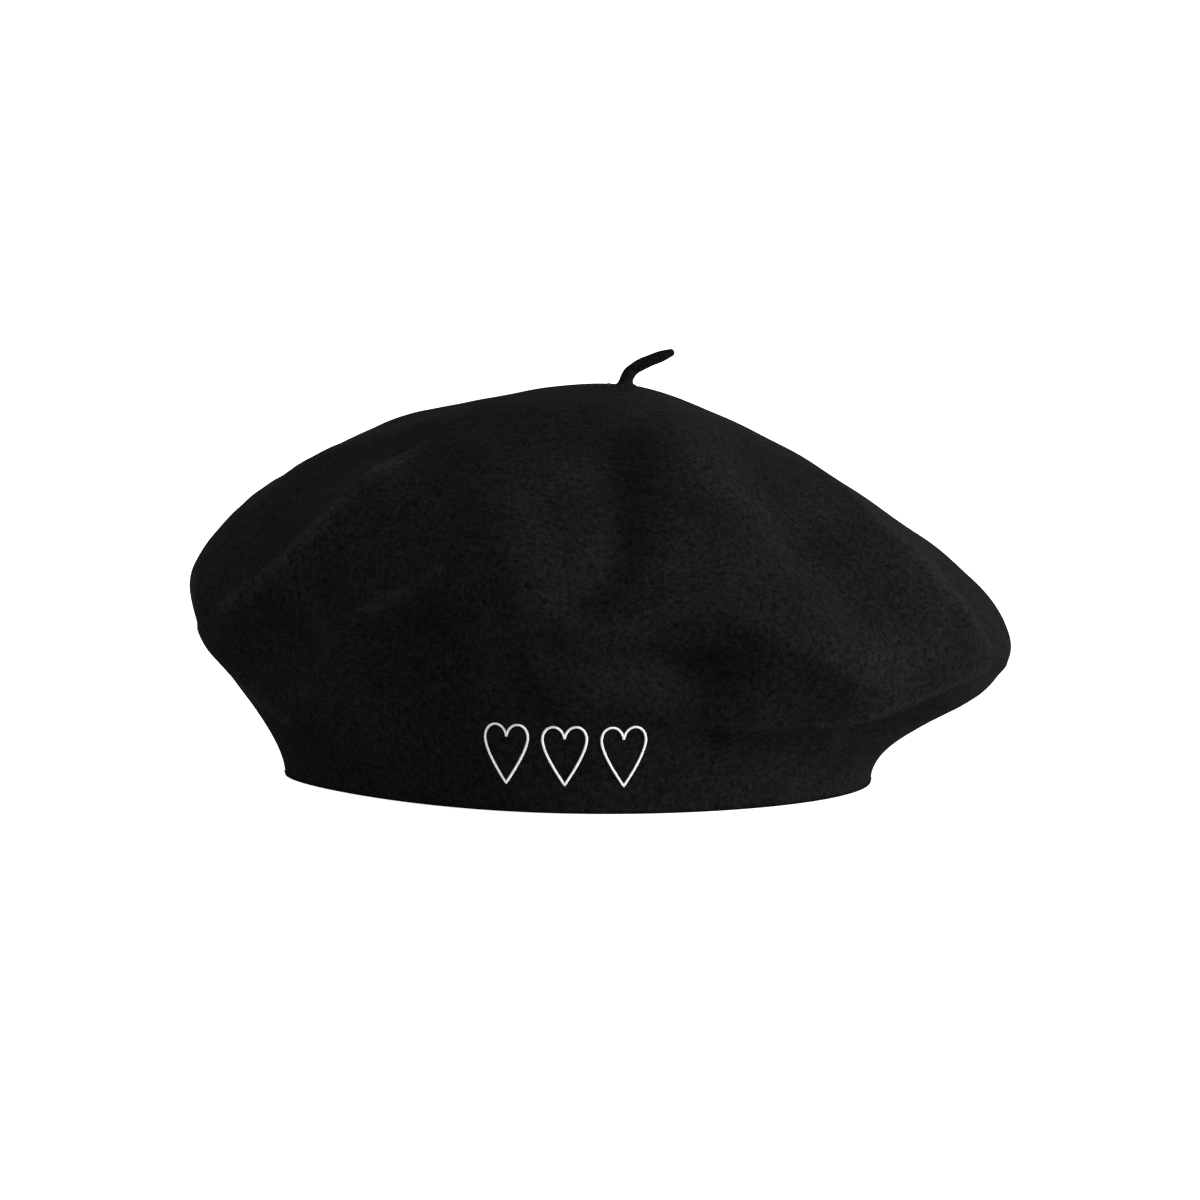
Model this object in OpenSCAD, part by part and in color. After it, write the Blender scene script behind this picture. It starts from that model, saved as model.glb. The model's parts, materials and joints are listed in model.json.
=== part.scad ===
// Wool felt beret: one-piece shell, felt tail, ribbon sweatband, embroidered hearts and label.
// Millimetres. +Z is up, +X is the wearer's left and -Y is the front, where the hearts are.
// The origin is the centre of the head opening, on the plane that the hem rests on.

/* [Head opening] */
// Girth of the head that the sweatband fits
head_girth = 570; // [500:5:690]
// Height of the sweatband ribbon
band_h = 25; // [18:1:32]
// Thickness of the sweatband ribbon
band_t = 0.9; // [0.5:0.1:1.4]
// Height of the sweatband's lower edge above the hem
band_lift = 1.5; // [1.2:0.1:3]
// Gap between the sweatband and the felt at the hem
band_gap = 0.3; // [0.2:0.05:0.8]

/* [Felt shell] */
// Thickness of the fulled felt
felt_t = 2; // [1.4:0.1:2.8]
// How far the hem's fulled edge stands proud of the wall, outside and inside
hem_lip = 0.35; // [0.3:0.05:0.8]
// Height of the crown's top above the hem
crown_h = 127.3; // [100:0.1:160]
// How far the crown's rim overhangs the hem on each side
overhang_right = 44.7; // [20:0.1:60]
overhang_left = 31.2; // [20:0.1:60]
overhang_front = 16; // [12:1:60]
overhang_back = 34; // [15:1:60]
// Height of the rim on each side
rim_z_right = 43; // [34:1:70]
rim_z_left = 64; // [34:1:75]
rim_z_front = 58; // [40:1:75]
rim_z_back = 50; // [34:1:75]
// How far the crown's top lies off the opening's centre, to the right and to the back
top_shift_x = 14; // [0:1:25]
top_shift_y = 5; // [0:1:20]

/* [Felt tail] */
// Radius of the tail at its root
tail_root_r = 2.1; // [1.4:0.1:3]
// Radius of the tail at its tip
tail_tip_r = 1.15; // [0.8:0.05:2]
// How far the tail leans over to the right
tail_reach = 15; // [6:0.5:24]
// How far the tail's tip rises above its root
tail_rise = 9.5; // [6:0.5:20]

/* [Hearts] */
// Width of one heart, over its thread
heart_w = 15.1; // [8:0.1:18]
// Height of one heart, over its thread
heart_h = 19.4; // [10:0.1:20]
// Width of the embroidered line
thread_w = 1.05; // [0.6:0.05:1.6]
// Distance from one heart to the next
heart_pitch = 19.4; // [18.5:0.1:26]
// Height of the middle heart's tip above the hem
heart_tip_z = 8.2; // [6:0.1:12]
// Place of the middle heart, to the right of the front's centre
row_shift = -3.9; // [-12:0.1:12]
// How much lower each heart sits than the one on its left
row_drop = 0.6; // [0:0.1:1.5]

/* [Label] */
// Width of the folded label
label_w = 26; // [12:1:40]
// Length of the folded label
label_len = 28; // [16:1:30]
// Thickness of the two folded leaves together
label_t = 1; // [0.6:0.1:1.6]
/* [Hidden] */

band_r = head_girth / (2 * PI);      // inside of the sweatband
band_outer_r = band_r + band_t;
band_top = band_lift + band_h;
hem_in_r = band_outer_r + band_gap;  // inside of the hem
hem_r = hem_in_r + felt_t + 2 * hem_lip;    // outside of the hem
wall_r = hem_r - hem_lip;            // outside of the wall, where it leaves the hem
top = [top_shift_x, top_shift_y, crown_h];

FRONT = 270;    // azimuths, counted from +X
BACK = 90;

felt_color = [0.035, 0.035, 0.04];
ribbon_color = [0.06, 0.06, 0.065];
black_thread = [0.08, 0.08, 0.085];
white_thread = [0.93, 0.93, 0.92];
backing_color = [0.2, 0.2, 0.2];
label_color = [0.85, 0.84, 0.8];

clear = 0.15;       // between solids that lie on each other
seat = 0.4;         // between the felt's inside, which is faceted, and what lies against it
tail_seat = 0.3;    // between the crown and the tail's round root
thread_r = 0.3;     // sewing thread

// ---- The felt surface ----

// A smooth value around the crown, from its values on the four sides.
function around(right, back, left, front, a) =
    (right + back + left + front) / 4 + (right - left) / 2 * cos(a)
    + (back - front) / 2 * sin(a) + (right + left - back - front) / 4 * cos(2 * a);

function cubic(p, t) =
    pow(1 - t, 3) * p[0] + 3 * t * pow(1 - t, 2) * p[1] + 3 * t * t * (1 - t) * p[2]
    + pow(t, 3) * p[3];

function ring_dir(a) = [cos(a), sin(a), 0];
function rim_r(a) =
    hem_r + around(overhang_right, overhang_back, overhang_left, overhang_front, a);
function rim_z(a) = around(rim_z_right, rim_z_back, rim_z_left, rim_z_front, a);

// The handles of the two curves: how far the wall stands straight above the hem and below
// the rim, how far it stands straight above the rim, and how flat the top is.
function stand(a) = around(20, 24, 16, 30, a);
function tuck(a) = around(22, 20, 16, 20, a);
function shoulder(a) = around(30, 24, 16, 24, a);
function flat_top(a) = around(26, 60, 98, 60, a);

// A point of the outer surface. v runs from 0 at the hem through 1 at the rim to 2 at the top.
function skin(a, v) =
    v <= 1
    ? cubic([wall_r * ring_dir(a), wall_r * ring_dir(a) + [0, 0, stand(a)],
             rim_r(a) * ring_dir(a) + [0, 0, rim_z(a) - tuck(a)],
             rim_r(a) * ring_dir(a) + [0, 0, rim_z(a)]], v)
    : cubic([rim_r(a) * ring_dir(a) + [0, 0, rim_z(a)],
             rim_r(a) * ring_dir(a) + [0, 0, rim_z(a) + shoulder(a)],
             top + flat_top(a) * ring_dir(a), top], v - 1);

function unit(p) = p / norm(p);

// The outward normal of the surface there.
step_v = 0.01;
step_a = 0.5;
function normal(a, v) =
    let (v0 = v > 1 && v < 1 + step_v ? 1 + step_v : v,
         low = v0 <= 1 ? max(0, v0 - step_v) : v0 - step_v,
         high = v0 <= 1 ? min(1, v0 + step_v) : min(1.97, v0 + step_v))
    unit(cross(skin(a + step_a, v0) - skin(a - step_a, v0), skin(a, high) - skin(a, low)));

// A point of the wall at a depth below the outer surface; a negative depth lies outside it.
function under(a, v, depth) = skin(a, v) - depth * normal(a, v);

// The v at which the wall below the rim reaches height z.
function v_at(a, z, low = 0, high = 1, turns = 14) =
    turns == 0 ? (low + high) / 2
    : skin(a, (low + high) / 2)[2] < z ? v_at(a, z, (low + high) / 2, high, turns - 1)
    : v_at(a, z, low, (low + high) / 2, turns - 1);

// ---- Solids from rings of points ----

// Each ring has the same number of points; a list of rings from one pole to the other, in the
// order that puts the outside on the outside, is closed by the points at its two ends.
module ringed(first, rings, last) {
    n = len(rings[0]);
    m = len(rings);
    points = concat([first], [for (r = rings) each r], [last]);
    end = 1 + m * n;
    faces = concat(
        [for (i = [0:n - 1]) [0, 1 + (i + 1) % n, 1 + i]],
        [for (k = [0:m - 2], i = [0:n - 1])
            let (a = 1 + k * n + i, b = 1 + k * n + (i + 1) % n)
            each [[a, b, a + n], [b, b + n, a + n]]],
        [for (i = [0:n - 1]) [end, end - n + i, end - n + (i + 1) % n]]);
    polyhedron(points, faces, convexity = 6);
}

// ---- Felt shell ----

around_n = 60;       // points around the shell
wall_rows = 16;      // rows below the rim, and again above it
hem_edge_h = 2.6;    // height of the fulled edge
hem_round = 1;

// Rows of v, closer together at the rim than at the top.
lower_rows = [for (i = [1:wall_rows]) i / wall_rows];
upper_rows = [for (i = [1:wall_rows - 1]) 1 + i / wall_rows];

// The flat-footed edge that the wall grows out of, round on the outside.
module hem_edge() {
    edge_t = hem_r - hem_in_r;
    rotate_extrude($fn = 180)
        translate([hem_in_r, 0]) {
            difference() {
                square([edge_t, hem_edge_h]);
                translate([edge_t - hem_round, -1]) square([hem_round + 1, hem_round + 1]);
            }
            translate([edge_t - hem_round, hem_round]) circle(hem_round, $fn = 32);
        }
}

module felt_body() {
    azimuths = [for (i = [0:around_n - 1]) i * 360 / around_n];
    foot_z = hem_edge_h / 2;
    outer = [for (v = concat([for (i = [len(upper_rows) - 1:-1:0]) upper_rows[i]],
                             [for (i = [wall_rows - 1:-1:0]) lower_rows[i]]))
             [for (a = azimuths) under(a, v, 0)]];
    inner = [for (v = concat(lower_rows, upper_rows)) [for (a = azimuths) under(a, v, felt_t)]];
    foot = [[for (a = azimuths) wall_r * ring_dir(a) + [0, 0, foot_z]],
            [for (a = azimuths) (wall_r - felt_t) * ring_dir(a) + [0, 0, foot_z]]];
    color(felt_color)
        union() {
            hem_edge();
            ringed(top, concat(outer, foot, inner), top - [0, 0, felt_t]);
        }
}

// ---- Felt tail ----

tail_sides = 12;
tail_rings = 12;
tail_pivot = top + [0, 0, tail_seat + tail_root_r];

// The tail's centre line stands up from its root, then curls over to the right.
function tail_point(t) =
    tail_pivot + cubic([[0, 0, 0], [0.05 * tail_reach, 0, 0.6 * tail_rise],
                        [0.4 * tail_reach, 0, 0.85 * tail_rise],
                        [tail_reach, 0, tail_rise]], t);
function tail_along(t) = unit(tail_point(t + 0.01) - tail_point(t - 0.01));
function tail_r(t) = tail_root_r + (tail_tip_r - tail_root_r) * t;

// A ring of the tail, off to the end by a distance along the line there.
function tail_ring(t, r, off = 0) =
    let (d = tail_along(t), side = unit(cross([0, 1, 0], d)))
    [for (i = [0:tail_sides - 1])
        let (a = -i * 360 / tail_sides)
        tail_point(t) + off * d + r * (cos(a) * side + sin(a) * [0, 1, 0])];

module felt_tail() {
    bulge = [75, 50, 25];    // angles of the rings on the rounded ends
    root = [for (e = bulge) tail_ring(0, tail_root_r * cos(e), -tail_root_r * sin(e))];
    shaft = [for (i = [0:tail_rings]) let (t = i / tail_rings) tail_ring(t, tail_r(t))];
    tip = [for (i = [2:-1:0]) let (e = bulge[i])
           tail_ring(1, tail_tip_r * cos(e), tail_tip_r * sin(e))];
    color(felt_color)
        ringed(tail_point(0) - tail_root_r * tail_along(0), concat(root, shaft, tip),
               tail_point(1) + tail_tip_r * tail_along(1));
}

tail_stitch_n = 6;
tail_stitch_len = 2;

// Short stitches that hold the tail's foot down, lying on the felt around it.
module tail_stitches() {
    color(black_thread)
        for (i = [0:tail_stitch_n - 1])
            translate(top + [0, 0, thread_r + clear])
                rotate([0, 0, (i + 0.5) * 360 / tail_stitch_n])
                    translate([tail_root_r + 0.4, 0, 0])
                        rotate([0, 95, 0])
                            cylinder(h = tail_stitch_len, r = thread_r, $fn = 16);
}

knot_r = 3;
knot_t = 1.4;

// The darned knot on the inside, where the tail's yarn is fastened off.
module tail_knot() {
    color(black_thread)
        translate(top - [0, 0, felt_t + seat + knot_t / 2])
            rotate_extrude($fn = 48) {
                translate([0, -knot_t / 2]) square([knot_r - knot_t / 2, knot_t]);
                translate([knot_r - knot_t / 2, 0])
                    intersection() {
                        circle(knot_t / 2, $fn = 32);
                        translate([0, -knot_t]) square([knot_t, 2 * knot_t]);
                    }
            }
}

// ---- Sweatband ----

module sweatband() {
    color(ribbon_color)
        translate([0, 0, band_lift])
            difference() {
                cylinder(h = band_h, r = band_outer_r, $fn = 180);
                translate([0, 0, -1]) cylinder(h = band_h + 2, r = band_r, $fn = 180);
            }
}

join_w = 14;
join_t = 0.5;
join_foot = 6;    // it stops short of the hem, where the felt is close behind the band

// A patch of the same ribbon behind the band, which backs the butt join of its two ends.
module band_join() {
    turn = join_w / band_outer_r * 180 / PI;
    color(ribbon_color)
        rotate([0, 0, BACK - turn / 2])
            rotate_extrude(angle = turn, $fn = 180)
                translate([band_outer_r + clear, join_foot])
                    square([join_t, band_top - join_foot]);
}

band_stitch_n = 84;
band_stitch_len = 2.4;
band_stitch_slant = 16;

// Slanted stitches below the band's lower edge, which sew it to the hem.
module band_stitches() {
    color(black_thread)
        for (i = [0:band_stitch_n - 1])
            rotate([0, 0, (i + 0.5) * 360 / band_stitch_n])
                translate([band_r + band_t / 2, 0, band_lift / 2])
                    rotate([90 - band_stitch_slant, 0, 0])
                        translate([0, 0, -band_stitch_len / 2])
                            cylinder(h = band_stitch_len, r = thread_r / 2 + 0.05, $fn = 16);
}

// ---- Hearts ----

heart_steps = 14;    // points on each half of a heart
heart_sides = 8;
notch = 0.2;         // depth of the notch, as a share of the height

// Half of a heart in the flat, from its tip to its notch: a nearly straight side, a round
// shoulder and a round lobe. x is out to the side and y is up.
half_w = heart_w / 2 - thread_w / 2;
line_h = heart_h - thread_w;
function half_heart(t) =
    t <= 0.5
    ? cubic([[0, 0], [0.3 * half_w, 0.22 * line_h], [half_w, 0.5 * line_h],
             [half_w, 0.76 * line_h]], 2 * t)
    : cubic([[half_w, 0.76 * line_h], [half_w, 1.08 * line_h],
             [0.12 * half_w, 1.08 * line_h], [0, (1 - notch) * line_h]], 2 * t - 1);

// The whole outline, up the right side and down the left.
function outline(i) =
    let (n = 2 * heart_steps, k = (i + n) % n, p = half_heart((k <= n / 2 ? k : n - k) / (n / 2)))
    [k <= n / 2 ? p[0] : -p[0], p[1]];

// A place on the felt at the front, from its distance to the right and its height. The distance
// is measured round the wall at that height, so that upright lines stay upright.
function azimuth_at(x, z) = FRONT - x / skin(FRONT, v_at(FRONT, z))[1] * 180 / PI;
function on_felt(x, z, depth) = let (a = azimuth_at(x, z)) under(a, v_at(a, z), depth);

// The thread of one heart, as a closed tube on the felt. A place of -1 is the left heart.
module heart(place) {
    n = 2 * heart_steps;
    x0 = row_shift + place * heart_pitch;
    z0 = heart_tip_z + thread_w / 2 - place * row_drop;
    lift = -thread_w / 2 - clear;
    line = [for (i = [0:n - 1]) on_felt(x0 + outline(i)[0], z0 + outline(i)[1], lift)];
    points = [for (i = [0:n - 1])
              let (d = unit(line[(i + 1) % n] - line[(i + n - 1) % n]),
                   z = z0 + outline(i)[1], a = azimuth_at(x0 + outline(i)[0], z),
                   out = normal(a, v_at(a, z)),
                   side = unit(cross(d, out)), up = cross(side, d))
              each [for (k = [0:heart_sides - 1])
                  let (b = k * 360 / heart_sides)
                  line[i] + thread_w / 2 * (cos(b) * side + sin(b) * up)]];
    faces = [for (i = [0:n - 1], k = [0:heart_sides - 1])
             let (a = i * heart_sides + k, b = i * heart_sides + (k + 1) % heart_sides,
                  c = ((i + 1) % n) * heart_sides + k,
                  d = ((i + 1) % n) * heart_sides + (k + 1) % heart_sides)
             each [[a, b, c], [b, d, c]]];
    color(white_thread) polyhedron(points, faces, convexity = 4);
}

module heart_left() { heart(-1); }
module heart_middle() { heart(0); }
module heart_right() { heart(1); }

backing_t = 0.4;
backing_margin = 4;
backing_cols = 20;
backing_rows = 6;

// The thin stabiliser left behind the hearts, on the felt's inside.
module embroidery_backing() {
    half = heart_pitch + heart_w / 2 + backing_margin;
    foot = heart_tip_z - 1;
    head = heart_tip_z + heart_h + backing_margin;
    sheet = [for (side = [0, 1], r = [0:backing_rows], c = [0:backing_cols])
             on_felt(row_shift + half * (2 * c / backing_cols - 1),
                     foot + (head - foot) * r / backing_rows,
                     felt_t + seat + side * backing_t)];
    cols = backing_cols + 1;
    side_n = cols * (backing_rows + 1);
    sheet_faces = [for (r = [0:backing_rows - 1], c = [0:backing_cols - 1])
                   let (a = r * cols + c, b = a + 1, d = a + cols, e = d + 1)
                   each [[a, d, b], [b, d, e]]];
    rim = concat([for (c = [0:backing_cols - 1]) c],
                 [for (r = [0:backing_rows - 1]) backing_cols + r * cols],
                 [for (c = [backing_cols:-1:1]) backing_rows * cols + c],
                 [for (r = [backing_rows:-1:1]) r * cols]);
    faces = concat(sheet_faces, [for (f = sheet_faces) [f[0], f[2], f[1]] + side_n * [1, 1, 1]],
                   [for (i = [0:len(rim) - 1])
                       let (a = rim[i], b = rim[(i + 1) % len(rim)])
                       each [[a, b, a + side_n], [b, b + side_n, a + side_n]]]);
    color(backing_color) polyhedron(sheet, faces, convexity = 4);
}

// ---- Label ----

label_stitch_n = 5;
label_stitch_r = 0.2;
label_hinge_z = band_top + 2 * label_stitch_r + 2 * clear + label_t / 2;
label_hinge = [0, band_r + band_t / 2, label_hinge_z];

// The label leans until a corner of its free end lies against the inside of the brim. The brim
// rises differently on its two sides, so both corners are tried. A side of -1 is on the right.
function corner_azimuth(side) = BACK + side * asin(label_w / 2 / (label_hinge[1] + label_len));
function rest_at(side, v) =
    under(corner_azimuth(side), v, felt_t + seat + label_t / 2) - label_hinge;
function rest_v(side, low = 0, high = 1, turns = 14) =
    let (v = (low + high) / 2, p = rest_at(side, v))
    turns == 0 ? v
    : norm([p[1], p[2]]) < label_len ? rest_v(side, v, high, turns - 1)
    : rest_v(side, low, v, turns - 1);
function lean_to(side) = let (p = rest_at(side, rest_v(side))) atan2(p[2], p[1]);
label_lean = max(lean_to(-1), lean_to(1));

// The folded label, sewn to the band's upper edge at the back and lying over on the brim.
module care_label() {
    color(label_color)
        translate(label_hinge)
            rotate([label_lean, 0, 0])
                translate([-label_w / 2, 0, 0]) {
                    rotate([0, 90, 0]) cylinder(h = label_w, r = label_t / 2, $fn = 32);
                    translate([0, 0, -label_t / 2]) cube([label_w, label_len, label_t]);
                }
}

// Stitches over the band's upper edge that hold the label.
module label_stitches() {
    gap = label_w / label_stitch_n;
    color(black_thread)
        for (i = [0:label_stitch_n - 1])
            translate([(i + 0.5) * gap - label_w / 2, band_r + 0.02,
                       band_top + clear + label_stitch_r])
                rotate([-90, 0, 0])
                    cylinder(h = band_t, r = label_stitch_r, $fn = 16);
}

felt_body();
felt_tail();
tail_stitches();
tail_knot();
sweatband();
band_join();
band_stitches();
heart_left();
heart_middle();
heart_right();
embroidery_backing();
care_label();
label_stitches();
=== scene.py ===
import json
import math
import random

import bmesh
import bpy
import numpy as np
from mathutils import Matrix, Vector


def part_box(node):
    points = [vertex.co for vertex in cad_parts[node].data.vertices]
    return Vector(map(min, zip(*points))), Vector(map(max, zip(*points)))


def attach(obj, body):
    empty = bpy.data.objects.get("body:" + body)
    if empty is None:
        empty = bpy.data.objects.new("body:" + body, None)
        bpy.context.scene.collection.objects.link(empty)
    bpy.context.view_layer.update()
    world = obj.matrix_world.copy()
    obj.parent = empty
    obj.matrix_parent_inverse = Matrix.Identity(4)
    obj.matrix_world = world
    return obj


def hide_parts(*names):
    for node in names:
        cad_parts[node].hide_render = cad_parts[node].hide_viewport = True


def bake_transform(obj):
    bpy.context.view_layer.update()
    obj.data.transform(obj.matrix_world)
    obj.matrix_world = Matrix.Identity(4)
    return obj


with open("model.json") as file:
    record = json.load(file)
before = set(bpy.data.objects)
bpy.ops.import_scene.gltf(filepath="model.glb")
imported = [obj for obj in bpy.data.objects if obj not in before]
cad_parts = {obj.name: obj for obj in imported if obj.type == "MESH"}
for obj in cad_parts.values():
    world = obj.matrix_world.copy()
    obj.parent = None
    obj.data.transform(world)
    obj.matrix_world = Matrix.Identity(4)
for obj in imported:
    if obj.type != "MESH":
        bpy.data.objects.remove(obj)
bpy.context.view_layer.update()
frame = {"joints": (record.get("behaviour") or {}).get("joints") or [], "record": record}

random.seed(7)

# ---- Sizes, in metres, from the frame ----

MM = 0.001
MOUNTS = {m["name"]: m for m in frame["record"]["mounts"]}
JOINTS = {j["name"]: j for j in frame["joints"]}

felt_low, felt_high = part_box("felt_body")
band_low, band_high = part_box("sweatband")

BAND_R = MOUNTS["head_opening"]["dims"]["r_mm"] * MM
BAND_OUT = band_high.x
BAND_FOOT = band_low.z
BAND_TOP = band_high.z
FELT_T = 2 * MM
BAND_GAP = 0.3 * MM        # between the ribbon and the hem
HEM_LIP = 0.35 * MM        # how far the hem's round edge stands out on each side of the wall
HEM_IN = BAND_OUT + BAND_GAP
HEM_OUT = HEM_IN + FELT_T + 2 * HEM_LIP
WALL_R = HEM_OUT - HEM_LIP
RIM_SET_IN = 0.4 * MM      # room for the folds that stand out of the rim
RIM_SET_IN_LEFT = 1.4 * MM
TAIL_PIVOT = Vector(JOINTS["tail_flex"]["pos_m"])
CROWN = Vector((TAIL_PIVOT.x, TAIL_PIVOT.y, felt_high.z))
FRONT = -math.pi / 2

# Values on the right, back, left and front of the crown: the rim's radius and height, then the
# handles of the two curves that make each meridian.
RIM_R = (felt_high.x - RIM_SET_IN, felt_high.y, -felt_low.x - RIM_SET_IN_LEFT, -felt_low.y)
RIM_Z = (43 * MM, 50 * MM, 64 * MM, 58 * MM)
STAND = (20 * MM, 24 * MM, 16 * MM, 30 * MM)
TUCK = (22 * MM, 20 * MM, 16 * MM, 20 * MM)
SHOULDER = (29 * MM, 24 * MM, 14 * MM, 24 * MM)
FLAT_TOP = (22 * MM, 60 * MM, 94 * MM, 60 * MM)


# ---- The crown's form ----


def around(sides, a):
    """A smooth value round the crown from its values on the right, back, left and front."""
    right, back, left, front = sides
    return (
        (right + back + left + front) / 4
        + (right - left) / 2 * np.cos(a)
        + (back - front) / 2 * np.sin(a)
        + (right + left - back - front) / 4 * np.cos(2 * a)
    )


def cubic(p0, p1, p2, p3, t):
    t = t[:, None]
    return (1 - t) ** 3 * p0 + 3 * t * (1 - t) ** 2 * p1 + 3 * t * t * (1 - t) * p2 + t**3 * p3


def skin(a, v):
    """Points of the smooth outer surface. v runs from 0 at the hem through 1 at the rim to 2 at
    the crown's top."""
    out = np.stack([np.cos(a), np.sin(a), np.zeros_like(a)], axis=1)
    up = np.array([0.0, 0.0, 1.0])
    hem = WALL_R * out
    rim = around(RIM_R, a)[:, None] * out + around(RIM_Z, a)[:, None] * up
    top = np.array(CROWN)
    lower = cubic(
        hem,
        hem + around(STAND, a)[:, None] * up,
        rim - around(TUCK, a)[:, None] * up,
        rim,
        np.clip(v, 0, 1),
    )
    upper = cubic(
        rim,
        rim + around(SHOULDER, a)[:, None] * up,
        top + around(FLAT_TOP, a)[:, None] * out,
        top + 0 * out,
        np.clip(v - 1, 0, 1),
    )
    return np.where((v <= 1)[:, None], lower, upper)


def unit(vectors):
    return vectors / np.maximum(np.linalg.norm(vectors, axis=1), 1e-12)[:, None]


def facing(surface, a, v):
    """Outward normals of a surface function, by small steps to each side."""
    da, dv = 0.004, 0.004
    v = np.clip(v, 0.001, 1.995)
    low, high = np.maximum(v - dv, 0), np.minimum(v + dv, 2)
    high = np.where((v <= 1) & (v > 1 - dv), 1, high)
    low = np.where((v > 1) & (v < 1 + dv), 1, low)
    sideways = surface(a + da, v) - surface(a - da, v)
    upwards = surface(a, high) - surface(a, low)
    return unit(np.cross(sideways, upwards))


# ---- Folds ----

# Folds are strokes over the crown's front or back face. That face leans back a little, and a
# place on it is (x, rise) in millimetres, with rise measured up the leaning face.
FACE_LEAN = 0.105
MAP_STEP = 0.8 * MM
MAP_X = (-150 * MM, 150 * MM)
MAP_H = (-25 * MM, 150 * MM)


def smooth_path(points, per_span=14):
    """A curve through the given points, as a dense list."""
    p = [np.array(q, float) for q in points]
    p = [2 * p[0] - p[1]] + p + [2 * p[-1] - p[-2]]
    out = []
    for i in range(1, len(p) - 2):
        for k in range(per_span):
            t = k / per_span
            out.append(
                0.5
                * (
                    2 * p[i]
                    + (p[i + 1] - p[i - 1]) * t
                    + (2 * p[i - 1] - 5 * p[i] + 4 * p[i + 1] - p[i + 2]) * t**2
                    + (3 * p[i] - p[i - 1] - 3 * p[i + 1] + p[i + 2]) * t**3
                )
            )
    out.append(p[-2])
    return np.array(out) * MM


class FaceMap:
    """How far the felt stands out of its smooth form over one face, as a grid of heights."""

    def __init__(self):
        self.x = np.arange(MAP_X[0], MAP_X[1], MAP_STEP)
        self.h = np.arange(MAP_H[0], MAP_H[1], MAP_STEP)
        self.gx, self.gh = np.meshgrid(self.x, self.h, indexing="ij")
        self.depth = np.zeros_like(self.gx)

    def stroke(self, path, height, left, right, crisp=2.0):
        """A fold along a path. left and right are its widths on the two sides of the path's
        direction, and a crispness near 1 gives a sharp crest."""
        line = smooth_path(path)
        nearest = np.full(self.gx.shape, 1e9)
        side = np.zeros(self.gx.shape)
        for p, q in zip(line[:-1], line[1:]):
            d = q - p
            t = np.clip(((self.gx - p[0]) * d[0] + (self.gh - p[1]) * d[1]) / (d @ d), 0, 1)
            ex, eh = self.gx - p[0] - t * d[0], self.gh - p[1] - t * d[1]
            dist = np.hypot(ex, eh)
            closer = dist < nearest
            nearest = np.where(closer, dist, nearest)
            side = np.where(closer, d[0] * eh - d[1] * ex, side)
        width = np.where(side > 0, left, right) * MM
        self.depth += height * MM * np.exp(-((nearest / width) ** crisp))

    def dent(self, x, h, depth, rx, rh, tilt=0.0):
        """A soft hollow, or a swelling where depth is negative."""
        c, s = math.cos(math.radians(tilt)), math.sin(math.radians(tilt))
        dx, dh = self.gx - x * MM, self.gh - h * MM
        u, w = (c * dx + s * dh) / (rx * MM), (-s * dx + c * dh) / (rh * MM)
        self.depth -= depth * MM * np.exp(-(u * u + w * w))

    def keep_plain(self, x, h, rx, rh):
        """Takes the folds away from an oval that a lining piece lies against."""
        u = (self.gx - x * MM) / (rx * MM)
        w = (self.gh - h * MM) / (rh * MM)
        self.depth *= 1 - np.exp(-((u * u + w * w) ** 2))

    def at(self, x, h):
        i = np.clip((x - MAP_X[0]) / MAP_STEP, 0, len(self.x) - 1.001)
        k = np.clip((h - MAP_H[0]) / MAP_STEP, 0, len(self.h) - 1.001)
        i0, k0 = i.astype(int), k.astype(int)
        s, t = i - i0, k - k0
        d = self.depth
        return (
            d[i0, k0] * (1 - s) * (1 - t)
            + d[i0 + 1, k0] * s * (1 - t)
            + d[i0, k0 + 1] * (1 - s) * t
            + d[i0 + 1, k0 + 1] * s * t
        )


def front_folds():
    m = FaceMap()
    # long ridge from the left rim up towards the top, with a flat facet above it
    m.stroke([(-106, 59), (-98, 64), (-86, 73), (-73, 85), (-62, 95)], 6.0, 13, 17, crisp=1.15)
    m.stroke([(-106, 72), (-92, 86), (-76, 101)], -2.6, 8, 8)
    # crease inside the left rim
    m.stroke([(-117, 60), (-115, 50), (-112, 42), (-106, 32), (-97, 24), (-90, 19)],
             2.6, 4.5, 5.5, crisp=1.3)
    # short ridge below the long one, over the two hollows of the left
    m.stroke([(-69, 53), (-56, 60), (-44, 67)], 3.6, 9, 5, crisp=1.3)
    m.dent(-46, 44, 14.5, 16, 18)
    m.dent(-94, 45, 8.5, 11, 15, tilt=-25)
    m.stroke([(-76, 54), (-74, 44), (-70, 34)], 2.6, 8, 8)
    # ridge that falls from the middle to the band
    m.dent(-20, 66, -5.0, 14, 26, tilt=17)
    m.stroke([(-23, 56), (-20, 48), (-15, 38)], 2.4, 8, 5, crisp=1.5)
    # valley below the top and the ridge to its right
    m.stroke([(11, 96), (13, 84), (12, 70), (3, 58)], -3.6, 9, 9)
    m.stroke([(30, 104), (46, 82), (62, 60), (86, 40)], 4.0, 14, 15)
    # roll over the right hollow
    m.stroke([(-2, 48), (20, 54), (42, 54), (64, 44), (84, 35)], 3.4, 7, 5, crisp=1.6)
    m.dent(34, 34, 11.0, 20, 10, tilt=-6)
    # hollow beside the right rim, and the crease inside the rim
    m.stroke([(72, 76), (85, 62), (100, 50)], -4.2, 11, 11)
    m.stroke([(78, 97), (92, 83), (106, 71), (116, 60), (122, 54)], 3.8, 5, 11, crisp=1.2)
    # the droop's lower edge, and the tuck under it
    m.stroke([(127, 37), (117, 34), (103, 28), (78, 22), (48, 17)], 3.8, 4.5, 7, crisp=1.3)
    m.stroke([(134, 34), (119, 28), (103, 21), (86, 16)], -2.8, 3.6, 3.6)
    return m


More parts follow.
